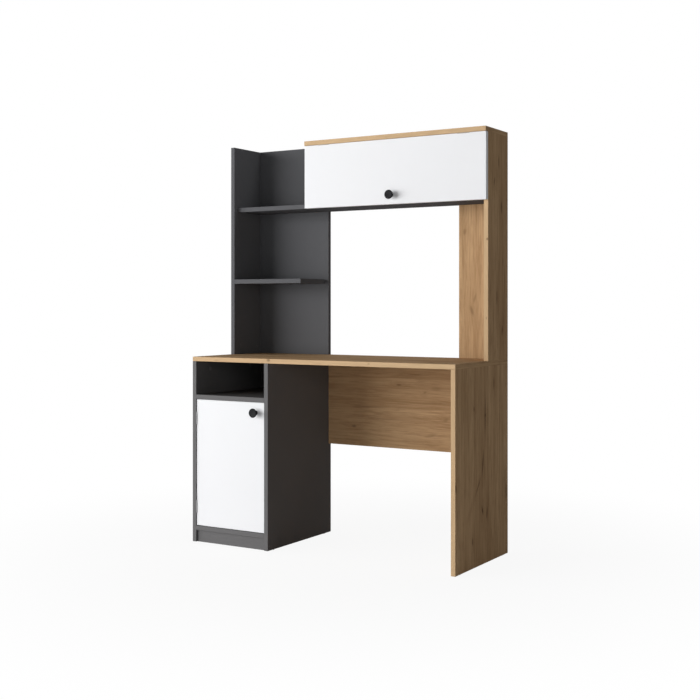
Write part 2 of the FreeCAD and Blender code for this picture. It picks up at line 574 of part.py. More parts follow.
def doors():
    """The pedestal's door and the cabinet's flap, with their hinges and knobs."""
    board("pedestal_door", (DOOR_LEFT, DOOR_RIGHT), (DOOR_FRONT, DOOR_FRONT + BOARD), (DOOR_BOTTOM, DOOR_TOP))
    board("flap_door", (CABINET_LEFT, RIGHT), (FLAP_FRONT, FLAP_BACK), (LONG_SHELF_UNDERSIDE, FLAP_TOP))
    for z in DOOR_HINGE_HEIGHTS:
        place = Vector(PEDESTAL_IN_LEFT, DOOR_AXIS.y, z)
        butt_hinge("pedestal_left_side", "pedestal_door", "door", place, X_AXIS, Z_AXIS)
    for x in FLAP_HINGE_PLACES:
        place = Vector(x, FLAP_AXIS.y, CABINET_CEILING)
        butt_hinge("cabinet_top", "flap_door", "flap", place, -Z_AXIS, X_AXIS)
    door_corner = Vector(DOOR_RIGHT, DOOR_FRONT, DOOR_TOP)
    knob("pedestal_door", "door", door_corner - (X_AXIS + Z_AXIS) * KNOB_INSET_ON_DOOR)
    flap_middle = (CABINET_LEFT + RIGHT) / 2
    knob("flap_door", "flap", Vector(flap_middle, FLAP_FRONT, LONG_SHELF_UNDERSIDE + KNOB_RISE_ON_FLAP))


def bar(start, end, radius, thickness, inward):
    """A flat bar with round ends between two pivots, as thick as given along the pivots."""
    along = (end - start).normalize()
    across = along.cross(inward)
    corners = [start + across * radius, end + across * radius, end - across * radius, start - across * radius]
    outline = [
        Part.LineSegment(corners[0], corners[1]),
        Part.Arc(corners[1], end + along * radius, corners[2]),
        Part.LineSegment(corners[2], corners[3]),
        Part.Arc(corners[3], start - along * radius, corners[0]),
    ]
    return Part.Face(Part.Wire([curve.toShape() for curve in outline])).extrude(inward * thickness)


def stay_pin(place, inward, radius, length):
    """A pivot pin with a flat head on its far end."""
    head = rod(place + inward * length, inward, radius + STAY_PIN_HEAD_LAP, STAY_PIN_HEAD)
    return rod(place, inward, radius, length).fuse(head).removeSplitter()


def flap_stay(side_board, face, inward):
    """A stay that carries the flap: a lever in step with the flap, and a link between the two."""
    lever_near = STAY_HOUSING + STAY_PLAY
    link_near = lever_near + STAY_STEEL + STAY_PLAY
    cheek_near = link_near + STAY_STEEL + STAY_PLAY
    cheek_far = cheek_near + STAY_FOOT_STEEL

    def at(point, distance):
        return Vector(face, point.y, point.z) + inward * distance

    middle = Vector(0, CABINET_FRONT + STAY_HOUSING_SET_BACK + STAY_HOUSING_LENGTH / 2, STAY_PIVOT.z)
    low = at(middle - Vector(0, STAY_HOUSING_LENGTH, STAY_HOUSING_HEIGHT) / 2, 0)
    high = at(middle + Vector(0, STAY_HOUSING_LENGTH, STAY_HOUSING_HEIGHT) / 2, STAY_HOUSING)
    housing = block(Vector(min(low.x, high.x), low.y, low.z), Vector(max(low.x, high.x), high.y, high.z))
    upright_edges = [edge for edge in housing.Edges if abs(edge.tangentAt(edge.FirstParameter).x) > 0]
    housing = housing.makeFillet(STAY_HOUSING_ROUND, upright_edges)
    pivot_bore = STAY_PIVOT_RADIUS + RUNNING_PLAY
    pin_bore = STAY_PIN_RADIUS + RUNNING_PLAY
    open_bore = STAY_PIN_RADIUS + STAY_OPEN_PLAY
    through = STAY_STEEL + 2 * OVERRUN
    sunk = STAY_HOUSING / 2
    pivot_length = lever_near + STAY_STEEL + RUNNING_PLAY - sunk
    add("stay_pivot_pins", stay_pin(at(STAY_PIVOT, sunk), inward, STAY_PIVOT_RADIUS, pivot_length))
    housing = housing.cut(rod(at(STAY_PIVOT, sunk), inward, pivot_bore, STAY_HOUSING))
    for step in (-1, 1):
        reach = step * (STAY_HOUSING_LENGTH / 2 - STAY_SCREW_INSET)
        screw_place = at(middle + Y_AXIS * reach, STAY_HOUSING)
        add("stay_screws", hinge_screw(screw_place, -inward))
        hole = hinge_screw_hole(screw_place, -inward)
        housing = housing.cut(hole)
        drill(side_board, hole)
    add("stay_housings", housing)

    lever = bar(at(STAY_PIVOT, lever_near), at(STAY_ELBOW, lever_near), STAY_LEVER_RADIUS, STAY_STEEL, inward)
    lever = lever.cut(rod(at(STAY_PIVOT, lever_near - OVERRUN), inward, pivot_bore, through))
    lever = lever.cut(rod(at(STAY_ELBOW, lever_near - OVERRUN), inward, pin_bore, through))
    add("stay_levers", lever)
    elbow_length = link_near + STAY_STEEL + RUNNING_PLAY - lever_near
    add("stay_elbow_pins", stay_pin(at(STAY_ELBOW, lever_near), inward, STAY_PIN_RADIUS, elbow_length))

    link = bar(at(STAY_ARM, link_near), at(STAY_ELBOW, link_near), STAY_LINK_RADIUS, STAY_STEEL, inward)
    link = link.cut(rod(at(STAY_ARM, link_near - OVERRUN), inward, open_bore, through))
    link = link.cut(rod(at(STAY_ELBOW, link_near - OVERRUN), inward, pin_bore, through))
    add("stay_links", link)

    flap_back = Vector(0, FLAP_BACK, STAY_ARM.z)
    cheek = bar(
        at(flap_back, cheek_near), at(STAY_ARM, cheek_near), STAY_LINK_RADIUS, STAY_FOOT_STEEL, inward)
    cheek = cheek.cut(block(at(flap_back, 0) - Vector(STAY_FOOT_HEIGHT, STAY_FOOT_HEIGHT, STAY_FOOT_HEIGHT),
                            at(flap_back, 0) + Vector(STAY_FOOT_HEIGHT, 0, STAY_FOOT_HEIGHT)))
    foot_low = at(flap_back - Z_AXIS * (STAY_FOOT_HEIGHT / 2), cheek_near)
    foot_high = at(flap_back + Vector(0, STAY_FOOT_STEEL, STAY_FOOT_HEIGHT / 2), cheek_near + STAY_FOOT_WIDTH)
    foot = block(Vector(min(foot_low.x, foot_high.x), foot_low.y, foot_low.z),
                 Vector(max(foot_low.x, foot_high.x), foot_high.y, foot_high.z))
    bracket = cheek.fuse(foot).removeSplitter()
    bracket = bracket.cut(rod(at(STAY_ARM, cheek_near - OVERRUN), inward, pin_bore, through))
    for step in (-1, 1):
        reach = Vector(0, STAY_FOOT_STEEL, step * (STAY_FOOT_HEIGHT / 2 - STAY_SCREW_INSET))
        screw_place = at(flap_back + reach, cheek_near + STAY_FOOT_WIDTH / 2)
        add("stay_bracket_screws", hinge_screw(screw_place, -Y_AXIS))
        hole = hinge_screw_hole(screw_place, -Y_AXIS)
        bracket = bracket.cut(hole)
        drill("flap_door", hole)
    add("stay_brackets", bracket)
    arm_length = cheek_far - link_near + RUNNING_PLAY
    add("stay_bracket_pins", stay_pin(at(STAY_ARM, cheek_far), -inward, STAY_PIN_RADIUS, arm_length))


def glides():
    """Nail-on glides under the three upright boards."""
    for upright, x in (
        ("pedestal_left_side", LEFT + BOARD / 2),
        ("pedestal_right_side", PEDESTAL_RIGHT - BOARD / 2),
        ("right_leg", RIGHT - BOARD / 2),
    ):
        for share in GLIDE_SHARES:
            place = Vector(x, FRONT + DESK_DEPTH * share, 0)
            disc = rod(place, Z_AXIS, GLIDE_RADIUS, GLIDE_HEIGHT)
            floor_edges = [edge for edge in disc.Edges if edge.BoundBox.ZMax < GLIDE_HEIGHT / 2]
            disc = disc.makeFillet(GLIDE_ROUND, floor_edges)
            nail = rod(place + Z_AXIS * GLIDE_HEIGHT, Z_AXIS, GLIDE_NAIL_RADIUS, GLIDE_NAIL_LENGTH)
            add("floor_glides", disc.fuse(nail).removeSplitter())
            nail_room = GLIDE_NAIL_LENGTH + SEAT_PLAY + OVERRUN
            nail_start = place + Z_AXIS * (GLIDE_HEIGHT - OVERRUN)
            drill(upright, rod(nail_start, Z_AXIS, GLIDE_NAIL_RADIUS + SEAT_PLAY, nail_room))


def build():
    """Make every piece, cut the holes and write one file for each node."""
    desk_boards()
    hutch_boards()
    thin_back(
        "pedestal_back",
        (PEDESTAL_IN_LEFT, PEDESTAL_IN_RIGHT),
        (PLINTH_HEIGHT, DESK_UNDERSIDE),
        "pedestal_left_side",
        "pedestal_right_side",
    )
    thin_back(
        "cabinet_back",
        (CABINET_IN_LEFT, LEG_LEFT),
        (LONG_SHELF_TOP, CABINET_CEILING),
        "cabinet_left_side",
        "hutch_right_side",
    )
    inner_shelf()
    desk_joints()
    hutch_joints()
    doors()
    flap_stay("cabinet_left_side", CABINET_IN_LEFT, X_AXIS)
    flap_stay("hutch_right_side", LEG_LEFT, -X_AXIS)
    glides()
    os.makedirs("parts", exist_ok=True)
    for node, pieces in solids.items():
        if node in holes:
            pieces = [piece.cut(holes[node]) for piece in pieces]
        shape = pieces[0] if len(pieces) == 1 else Part.makeCompound(pieces)
        shape.exportStep("parts/" + node + ".step")


build()
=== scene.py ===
import math

import bpy
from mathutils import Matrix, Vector


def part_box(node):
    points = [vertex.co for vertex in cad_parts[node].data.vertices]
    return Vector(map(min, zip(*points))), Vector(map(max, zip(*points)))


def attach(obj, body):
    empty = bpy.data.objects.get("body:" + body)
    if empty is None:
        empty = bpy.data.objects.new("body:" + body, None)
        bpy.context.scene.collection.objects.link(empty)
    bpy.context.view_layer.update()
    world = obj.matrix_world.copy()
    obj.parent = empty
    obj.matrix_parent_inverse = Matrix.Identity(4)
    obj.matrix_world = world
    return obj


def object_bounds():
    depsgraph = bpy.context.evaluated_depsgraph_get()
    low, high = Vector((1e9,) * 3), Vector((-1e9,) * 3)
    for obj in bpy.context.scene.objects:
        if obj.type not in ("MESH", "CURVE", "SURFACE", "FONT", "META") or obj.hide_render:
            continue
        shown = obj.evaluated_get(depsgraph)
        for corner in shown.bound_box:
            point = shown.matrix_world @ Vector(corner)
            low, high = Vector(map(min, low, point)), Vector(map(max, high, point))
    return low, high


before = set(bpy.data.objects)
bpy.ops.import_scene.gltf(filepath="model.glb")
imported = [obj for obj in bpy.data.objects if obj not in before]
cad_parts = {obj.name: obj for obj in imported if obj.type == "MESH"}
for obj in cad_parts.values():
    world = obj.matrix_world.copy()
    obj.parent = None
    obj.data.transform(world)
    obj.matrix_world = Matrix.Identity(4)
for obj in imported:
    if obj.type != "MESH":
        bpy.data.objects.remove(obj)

CAD_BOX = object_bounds()

bl_info = {
    "name": "Study Desk Looks",
    "version": (1, 0, 0),
    "blender": (4, 5, 0),
    "location": "View3D > Sidebar > Desk",
    "description": "Dresses a study desk with a hutch: oak, dark and white boards, knobs and fittings",
    "category": "Object",
}


# Sizes and colours

def tint(name, description, default):
    return bpy.props.FloatVectorProperty(
        name=name, description=description, subtype="COLOR", size=3, min=0, max=1, default=default)


def measure(name, description, default):
    return bpy.props.FloatProperty(name=name, description=description, unit="LENGTH", default=default)


def wattage(name, description, default):
    return bpy.props.FloatProperty(name=name, description=description, unit="POWER", default=default)


class OakLook(bpy.types.PropertyGroup):
    light: tint("Light Oak", "Pale early wood", (0.600, 0.402, 0.228))
    dark: tint("Dark Oak", "Darker late wood", (0.375, 0.230, 0.118))
    streak: tint("Streak", "Long brown streaks", (0.270, 0.152, 0.074))
    knot: tint("Knot", "Heart of a knot and fine cracks", (0.085, 0.046, 0.024))
    # Partly painted light: this paler colour goes on the front-facing edges only, where the front lamp
    # falls, and on the thin edge line
    banding_and_painted_light: tint("Banding", "Slightly paler strip glued to the board's edges", (0.670, 0.480, 0.286))
    ring_width: measure("Ring Width", "Width of one year's growth", 0.013)


class BoardLook(bpy.types.PropertyGroup):
    anthracite: tint("Anthracite", "Dark grey laminate of the hutch", (0.115, 0.116, 0.122))
    # Painted shade: the pedestal's colour is a darker copy of the hutch's anthracite, standing in for the
    # shade on it
    pedestal: tint("Pedestal", "Dark grey laminate of the pedestal", (0.108, 0.106, 0.107))
    # Painted light: the pedestal's front-facing faces are painted this many times lighter, standing in
    # for the stronger light that falls on them
    painted_front_light: bpy.props.FloatProperty(
        name="Trim", description="How much lighter the pedestal's front edges are", default=1.42)
    white: tint("White", "White door laminate", (0.86, 0.865, 0.88))
    hardboard: tint("Hardboard", "Thin back panels", (0.110, 0.108, 0.108))


class FittingLook(bpy.types.PropertyGroup):
    knob: tint("Knob", "Black knobs", (0.011, 0.011, 0.012))
    nickel: tint("Nickel", "Plated steel of stays, pins and screws", (0.56, 0.55, 0.53))
    bronze: tint("Bronze", "Lacquer of the flap's hinges", (0.420, 0.370, 0.310))
    slate: tint("Slate", "Lacquer of the door's hinges", (0.420, 0.420, 0.422))
    zinc: tint("Zinc", "Cast cam locks", (0.50, 0.51, 0.53))
    beech: tint("Beech", "Dowels", (0.56, 0.37, 0.20))
    plastic: tint("Plastic", "Stay housings and floor glides", (0.075, 0.075, 0.078))
    dark_cap: tint("Dark Cap", "Cover caps on the dark boards", (0.115, 0.115, 0.119))
    oak_cap: tint("Oak Cap", "Cover caps on the oak boards", (0.430, 0.272, 0.144))
    cap_radius: measure("Cap Radius", "Radius of a cover cap", 0.0086)
    cap_rim: measure("Cap Rim", "Height of a cover cap's rim", 0.0006)
    cap_crown: measure("Cap Crown", "Rise of a cover cap from its rim to its middle", 0.0003)


class StageLook(bpy.types.PropertyGroup):
    lens: bpy.props.FloatProperty(
        name="Lens", description="Focal length in millimetres", default=59.145)
    camera: bpy.props.FloatVectorProperty(
        name="Camera", description="Place of the camera", subtype="TRANSLATION", unit="LENGTH", size=3,
        default=(2.37456, -3.87424, 0.96356))
    turn: bpy.props.FloatProperty(
        name="Turn", description="Turn of the camera to its left", subtype="ANGLE",
        default=math.radians(31.26))
    shift: bpy.props.FloatProperty(
        name="Shift", description="Upright shift of the frame", default=-0.06582)
    key: wattage("Key", "Power of the broad front lamp", 985.0)
    side: wattage("Side", "Power of the weak lamp at the right", 46.0)
    back: wattage("Back", "Power of the lamp behind", 95.0)
    top: wattage("Top", "Power of the lamp above the back", 8.0)
    crown: wattage("Crown", "Power of the small lamp over the open shelves", 0.95)
    fill: bpy.props.FloatProperty(
        name="Fill", description="Level of the light from all round", default=0.095)
    shade: bpy.props.FloatProperty(
        name="Shade", description="How much of the shadow the floor keeps", default=0.08)


X, Y, Z = 0, 1, 2
FACING = 0.5  # a surface faces along an axis where its normal's share of that axis is larger


# Widths of the line along the boards' edges, partly wear and partly painted light (a painted highlight on
# the oak and dark boards, painted shade on the white doors), and the share of it at full strength

OAK_ARRIS = 0.0009
LAMINATE_ARRIS = 0.0011
ARRIS_CORE = 0.3


# Shader sums

class Wire:
    """A socket of a node tree, so that sums on values are written as plain expressions."""

    def __init__(self, finish, socket):
        self.finish = finish
        self.socket = socket

    def math(self, operation, *values):
        return self.finish.node("ShaderNodeMath", {"operation": operation}, dict(enumerate(values)))

    def __add__(self, other):
        return self.math("ADD", self, other)

    def __radd__(self, other):
        return self.math("ADD", other, self)

    def __sub__(self, other):
        return self.math("SUBTRACT", self, other)

    def __rsub__(self, other):
        return self.math("SUBTRACT", other, self)

    def __mul__(self, other):
        return self.math("MULTIPLY", self, other)

    def __rmul__(self, other):
        return self.math("MULTIPLY", other, self)

    def __truediv__(self, other):
        return self.math("DIVIDE", self, other)

    def __pow__(self, other):
        return self.math("POWER", self, other)

    def __abs__(self):
        return self.math("ABSOLUTE", self)

    def __gt__(self, other):
        return self.math("GREATER_THAN", self, other)

    def least(self, other):
        return self.math("MINIMUM", self, other)

    def most(self, other):
        return self.math("MAXIMUM", self, other)

    def part(self):
        """What is left past the whole number."""
        return self.math("FRACT", self)


class Nodes:
    """A node tree that is put together from expressions."""

    def __init__(self, owner, output):
        owner.use_nodes = True
        self.tree = owner.node_tree
        self.tree.nodes.clear()
        self.output = self.tree.nodes.new(output)

    def plug(self, socket, value):
        if isinstance(value, Wire):
            self.tree.links.new(value.socket, socket)
        else:
            socket.default_value = value

    def node(self, kind, settings=None, inputs=None, output=0):
        """Add a node, its settings first and then its sockets' values or links. Gives an output."""
        made = self.tree.nodes.new(kind)
        for name, value in (settings or {}).items():
            setattr(made, name, value)
        for key, value in (inputs or {}).items():
            self.plug(made.inputs[key], value)
        return Wire(self, made.outputs[output])

    def seen(self):
        """1 where the camera, a mirror or glass sees the stage, 0 where it only lights the object."""
        rays = [self.node("ShaderNodeLightPath", output=name) for name in
                ("Is Camera Ray", "Is Glossy Ray", "Is Transmission Ray")]
        return (rays[0] + rays[1] + rays[2]).least(1.0)


class Finish(Nodes):
    """A material. at is a point's place on the object, and normal is the way its surface faces."""

    def __init__(self, name):
        self.material = bpy.data.materials.new(name)
        super().__init__(self.material, "ShaderNodeOutputMaterial")
        self.shader = self.tree.nodes.new("ShaderNodeBsdfPrincipled")
        self.tree.links.new(self.shader.outputs["BSDF"], self.output.inputs["Surface"])
        self.at = self.split(self.node("ShaderNodeTexCoord", output="Object"))
        self.normal = self.split(self.node("ShaderNodeTexCoord", output="Normal"))

    def split(self, vector):
        return [self.node("ShaderNodeSeparateXYZ", inputs={0: vector}, output=axis) for axis in "XYZ"]

    def surface(self, **values):
        """Set the shader's own sockets, named with underscores for spaces."""
        for name, value in values.items():
            self.plug(self.shader.inputs[name.replace("_", " ")], value)

    def point(self, x, y, z):
        return self.node("ShaderNodeCombineXYZ", inputs={"X": x, "Y": y, "Z": z})

    def noise(self, point, scale, detail=2.0, rough=0.5):
        inputs = {"Vector": point, "Scale": scale, "Detail": detail, "Roughness": rough}
        return self.node("ShaderNodeTexNoise", {"noise_dimensions": "3D"}, inputs, "Fac")

    def blend(self, factor, first, second):
        """Mix two colours."""
        return self.node("ShaderNodeMix", {"data_type": "RGBA"}, {0: factor, 6: first, 7: second}, 2)

    def ease(self, value, low, high):
        """0 below low, 1 above high and a smooth step between."""
        inputs = {"Value": value, "From Min": low, "From Max": high, "To Min": 0.0, "To Max": 1.0}
        return self.node("ShaderNodeMapRange", {"interpolation_type": "SMOOTHSTEP"}, inputs)

    def either(self, factor, first, second):
        """One number or the other."""
        return first + factor * (second - first)

    def bump(self, height, strength, distance):
        inputs = {"Height": height, "Strength": strength, "Distance": distance}
        return self.node("ShaderNodeBump", inputs=inputs)

    def front(self):
        """1 where the surface faces the front."""
        return 0.0 - self.normal[Y] > FACING

    def arris(self, board, width):
        """1 on a thin line along the board's edges, and 0 on its faces."""
        low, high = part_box(board)
        near = None
        for axis in range(3):
            reach = (high[axis] - low[axis]) / 2 - abs(self.at[axis] - (high[axis] + low[axis]) / 2)
            reach = reach + abs(self.normal[axis])
            near = near.least(reach) if near else reach
        return 1 - self.ease(near, width * ARRIS_CORE, width)


def opaque(colour):
    return (colour[0], colour[1], colour[2], 1.0)


def shaded(colour, share):
    return tuple(min(1.0, part * share) for part in colour) + (1.0,)


def dress(finish, *nodes):
    """Give nodes of the frame a finish."""
    for name in nodes:
        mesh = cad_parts[name].data
        mesh.materials.clear()
        mesh.materials.append(finish.material)


# Finishes

# Layers of the oak's figure: scale along and across the grain, then offset, detail and roughness

FIGURE = {
    "sway": (0.9, 2.4, 0.0, 3.0, 0.55),
    "wander": (4.5, 12.0, 4.0, 2.0, 0.5),
    "fibre": (6.0, 260.0, 21.0, 3.0, 0.6),
    "broad": (0.5, 8.0, 9.0, 2.0, 0.5),
    "cloud": (1.7, 19.0, 13.0, 4.0, 0.6),
    "band": (0.8, 42.0, 17.0, 3.0, 0.6),
    "dash": (9.0, 88.0, 29.0, 3.0, 0.7),
    "pore": (38.0, 1300.0, 25.0, 2.0, 0.6),
}


def oak_finish(look, board, along, across, seed, marks, spots):
    """Rustic oak on one board: rings, streaks and pores along the grain, knots and fine cracks."""
    finish = Finish("oak_" + board)
    low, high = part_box(board)
    middle = (low + high) / 2
    deep = 3 - along - across
    run, side, thick = (finish.at[axis] - middle[axis] for axis in (along, across, deep))
    end = abs(finish.normal[along]) > FACING
    edge = 1 - (abs(finish.normal[deep]) > FACING)
    # Front-facing edges: where the paler banding goes, partly as painted light, and where the spots lie
    strip = edge * finish.front()
    grain = finish.either(end, run, side)
    cross = finish.either(end, side, thick)
    layer = finish.either(end, thick, run)

    def figure(name):
        lengthwise, crosswise, offset, detail, rough = FIGURE[name]
        place = finish.point(grain * lengthwise, cross * crosswise, layer * crosswise + (seed + offset))
        return finish.noise(place, 1.0, detail, rough)

    sway = figure("sway") - 0.5
    wander = figure("wander") - 0.5
    fibre = figure("fibre")
    heart = edge * 0.0
    halo = edge * 0.0
    on_faces = [(mark, side, 1 - edge) for mark in marks]
    on_edges = [(spot, thick, strip) for spot in spots]
    for place, beside, face in on_faces + on_edges:
        knot_run, knot_side, half_length, half_width, lean, strength = place
        past = run - knot_run
        off = beside - knot_side - past * lean + wander * 0.008
        oval = past * past / (half_length * half_length) + off * off / (half_width * half_width)
        far = oval ** 0.5 + wander * 0.5 + (fibre - 0.5) * 0.7
        heart = heart.most((1 - finish.ease(far, 0.2, 1.0)) * face * strength)
        halo = halo.most((1 - finish.ease(far, 0.6, 4.0)) * face * strength)

    pith = cross + layer * 0.8 + sway * 0.17 + wander * 0.014
    year = (pith / look.ring_width + halo * 2.2).part()
    late = finish.ease(year, 0.30, 0.90) * (1 - finish.ease(year, 0.90, 1.0))
    broad = figure("broad")
    cloud = figure("cloud")
    band = figure("band")
    dash = figure("dash")
    pore = figure("pore")

    tone = finish.ease(cloud, 0.36, 0.66) * 0.42 + late * 0.14 + finish.ease(fibre, 0.38, 0.64) * 0.30
    tone = tone + finish.ease(broad, 0.38, 0.62) * 0.20

    # Base colour, and what lies over it from the widest streaks to the edge line, which is partly wear
    # and partly a painted highlight
    colour = finish.blend(tone, opaque(look.light), opaque(look.dark))
    colour = finish.blend(finish.ease(band, 0.54, 0.74) * 0.50, colour, opaque(look.streak))
    colour = finish.blend(finish.ease(dash, 0.47, 0.68) * 0.36, colour, opaque(look.streak))
    colour = finish.blend(halo * 0.30, colour, opaque(look.streak))
    colour = finish.blend(finish.ease(pore, 0.60, 0.80) * 0.28, colour, opaque(look.streak))
    # Partly a real banding strip, partly painted light: a paler colour on the front-facing edges only
    colour = finish.blend(strip * 0.60, colour, opaque(look.banding_and_painted_light))
    colour = finish.blend(heart * 0.80, colour, opaque(look.knot))
    # Partly wear, partly a painted highlight: a thin paler line along every edge
    colour = finish.blend(finish.arris(board, OAK_ARRIS) * 0.30, colour, opaque(look.banding_and_painted_light))
    finish.surface(Base_Color=colour, Roughness=0.66 + fibre * 0.14 + heart * 0.08)
    finish.surface(Specular_IOR_Level=0.02)
    finish.surface(Normal=finish.bump(fibre * 0.5 + pore * 0.6 - heart * 0.8, 0.20, 0.0004))
    return finish


def laminate_finish(name, board, colour, painted_front_light, rough, change, peel, edge_wear_and_light, shine):
    """Plain laminate on one board: a fine pressed texture, faint clouds, front-facing faces painted
    lighter as painted light, and edges rubbed a little, their line partly wear and partly painted light.
    """
    finish = Finish(name + "_" + board)
    point = finish.point(*finish.at)
    pressed = finish.noise(point, 900.0, 2.0, 0.5)
    fleck = finish.noise(point, 2600.0, 1.0, 0.5)
    cloud = finish.noise(point, 2.6, 3.0, 0.5)
    uneven = finish.ease(cloud * 0.6 + fleck * 0.4, 0.30, 0.70)
    mixed = finish.blend(uneven, shaded(colour, 1 - change), shaded(colour, 1 + change))
    # Painted light: front-facing faces are painted lighter by the given factor, standing in for the
    # stronger light that falls on them
    mixed = finish.blend(finish.front(), mixed, shaded(colour, painted_front_light))
    # Partly wear, partly painted light: a thin line along every edge, a painted highlight on the dark
    # boards and painted shade on the white doors
    mixed = finish.blend(finish.arris(board, LAMINATE_ARRIS) * 0.45, mixed, shaded(colour, edge_wear_and_light))
    finish.surface(Base_Color=mixed, Roughness=rough + (pressed - 0.5) * 0.10 + (cloud - 0.5) * 0.08)
    finish.surface(Specular_IOR_Level=shine)
    finish.surface(Normal=finish.bump(pressed + fleck * 0.5, peel, 0.0002))
    return finish


# The fourth number scales the edge line: partly wear, partly a painted highlight above 1 and painted
# shade below 1
MATT = {"rough": 0.66, "change": 0.05, "peel": 0.10, "edge_wear_and_light": 1.45, "shine": 0.0}
RAW = {"rough": 0.58, "change": 0.07, "peel": 0.14, "edge_wear_and_light": 1.50, "shine": 0.02}
SATIN = {"rough": 0.46, "change": 0.008, "peel": 0.05, "edge_wear_and_light": 0.90, "shine": 0.025}


def metal_finish(name, colour, rough, scratch):
    """Plated metal with fine scratches and a slightly uneven shine."""
    finish = Finish(name)
    x, y, z = finish.at
    cloud = finish.noise(finish.point(*finish.at), 60.0, 3.0, 0.6)
    brush = finish.noise(finish.point(x * 200.0, y * 3000.0, z * 700.0), 1.0, 2.0, 0.5)
    dull = finish.ease(cloud, 0.3, 0.7)
    finish.surface(Base_Color=finish.blend(dull, opaque(colour), shaded(colour, 0.82)))
    finish.surface(Roughness=rough + cloud * 0.12 + brush * scratch, Metallic=1.0)
    finish.surface(Normal=finish.bump(brush, 0.08, 0.0001))
    return finish


def moulded_finish(name, colour, rough, spark, shine):
    """Moulded plastic or sprayed lacquer with a fine grain."""
    finish = Finish(name)
    point = finish.point(*finish.at)
    grain = finish.noise(point, 1500.0, 2.0, 0.6)
    cloud = finish.noise(point, 45.0, 2.0, 0.5)
    pale = finish.ease(cloud + grain * 0.3, 0.45, 0.95)
    finish.surface(Base_Color=finish.blend(pale, opaque(colour), shaded(colour, 1.3)))
    finish.surface(Roughness=rough + grain * 0.10 + cloud * 0.06)
    finish.surface(Specular_IOR_Level=shine)
    finish.surface(Normal=finish.bump(grain, spark, 0.0001))
    return finish


def beech_finish(name, colour):
    """Bare turned beech with short flecks."""
    finish = Finish(name)
    fleck = finish.noise(finish.point(*finish.at), 900.0, 3.0, 0.6)
    brown = finish.ease(fleck, 0.4, 0.7)
    finish.surface(Base_Color=finish.blend(brown, opaque(colour), shaded(colour, 0.72)))
    finish.surface(Roughness=0.62 + fleck * 0.15)
    finish.surface(Normal=finish.bump(fleck, 0.2, 0.0002))
    return finish


# Boards and fittings. A mark's numbers are its place along and across the grain from the board's middle,
# half its length and width, its lean and its strength. A spot is a mark on the front edge.

LEG_MARKS = (
    (0.185, 0.022, 0.110, 0.0060, 0.02, 0.85), (0.184, 0.022, 0.018, 0.010, 0.0, 1.0),
    (0.004, 0.000, 0.065, 0.0060, 0.10, 0.85), (-0.072, -0.040, 0.040, 0.007, 0.75, 0.65),
    (-0.165, -0.002, 0.026, 0.009, -0.25, 0.95), (-0.180, 0.038, 0.032, 0.007, 0.10, 0.90),
    (-0.057, -0.226, 0.022, 0.008, 0.0, 0.90), (-0.125, 0.213, 0.045, 0.008, 0.0, 0.90),
    (0.214, -0.076, 0.012, 0.008, 0.0, 0.60), (-0.267, -0.088, 0.020, 0.008, 0.0, 0.60),
    (0.297, 0.097, 0.030, 0.006, 0.0, 0.55),
)
SIDE_MARKS = (
    (0.155, 0.031, 0.034, 0.011, 0.0, 0.65), (0.325, 0.006, 0.034, 0.006, 0.0, 0.70),
    (0.248, -0.034, 0.024, 0.009, 0.2, 0.50), (-0.190, -0.011, 0.045, 0.009, 0.0, 0.60),
    (-0.318, 0.036, 0.026, 0.006, 0.1, 0.85), (-0.055, 0.045, 0.024, 0.006, 0.0, 0.45),
)
RAIL_MARKS = (
    (0.195, -0.067, 0.018, 0.009, 0.0, 0.40), (-0.065, -0.022, 0.026, 0.008, 0.3, 0.32),
    (-0.114, -0.035, 0.030, 0.011, -0.3, 0.42), (0.050, 0.040, 0.060, 0.004, 0.02, 0.22),
)
MODESTY_MARKS = (
    (-0.057, 0.080, 0.017, 0.006, 0.0, 0.60), (0.062, 0.053, 0.010, 0.006, 0.2, 0.38),
    (0.112, 0.070, 0.032, 0.012, 0.0, 0.24), (-0.270, -0.098, 0.016, 0.008, 0.0, 0.58),
    (0.089, -0.118, 0.034, 0.009, 0.2, 0.28), (0.156, -0.051, 0.018, 0.012, 0.3, 0.26),
    (0.017, 0.124, 0.040, 0.004, 0.0, 0.42), (-0.190, -0.015, 0.110, 0.004, 0.02, 0.32),
    (0.250, -0.070, 0.024, 0.009, 0.0, 0.30), (0.300, 0.110, 0.014, 0.008, 0.0, 0.45),
    (-0.120, -0.060, 0.140, 0.004, -0.03, 0.30), (0.060, 0.010, 0.150, 0.005, 0.01, 0.24),
)
DESKTOP_MARKS = (
    (-0.440, 0.110, 0.022, 0.011, 0.0, 0.80),
    (-0.310, -0.060, 0.016, 0.008, 0.0, 0.70), (-0.120, 0.040, 0.085, 0.004, 0.03, 0.60),
    (-0.020, 0.046, 0.014, 0.009, 0.0, 0.85), (0.140, -0.120, 0.024, 0.012, 0.0, 0.60),
    (0.255, 0.150, 0.018, 0.008, 0.0, 0.75), (0.330, -0.030, 0.095, 0.004, -0.02, 0.55),
    (0.455, -0.150, 0.014, 0.010, 0.0, 0.80), (0.520, 0.080, 0.024, 0.009, 0.1, 0.60),
)
LID_MARKS = (
    (-0.270, 0.030, 0.020, 0.009, 0.0, 0.75), (-0.060, -0.045, 0.070, 0.004, 0.03, 0.55),
    (0.110, 0.052, 0.014, 0.008, 0.0, 0.80), (0.300, -0.020, 0.024, 0.010, 0.0, 0.60),
)
DESKTOP_SPOTS = (
    (-0.215, 0.003, 0.010, 0.007, 0.0, 0.75), (0.236, 0.002, 0.008, 0.005, 0.0, 0.35),
    (-0.470, -0.003, 0.020, 0.003, 0.0, 0.25), (0.020, -0.004, 0.030, 0.003, 0.0, 0.25),
)
SIDE_SPOTS = ((0.027, 0.006, 0.007, 0.006, 0.0, 0.80), (-0.268, 0.002, 0.009, 0.004, 0.0, 0.45))
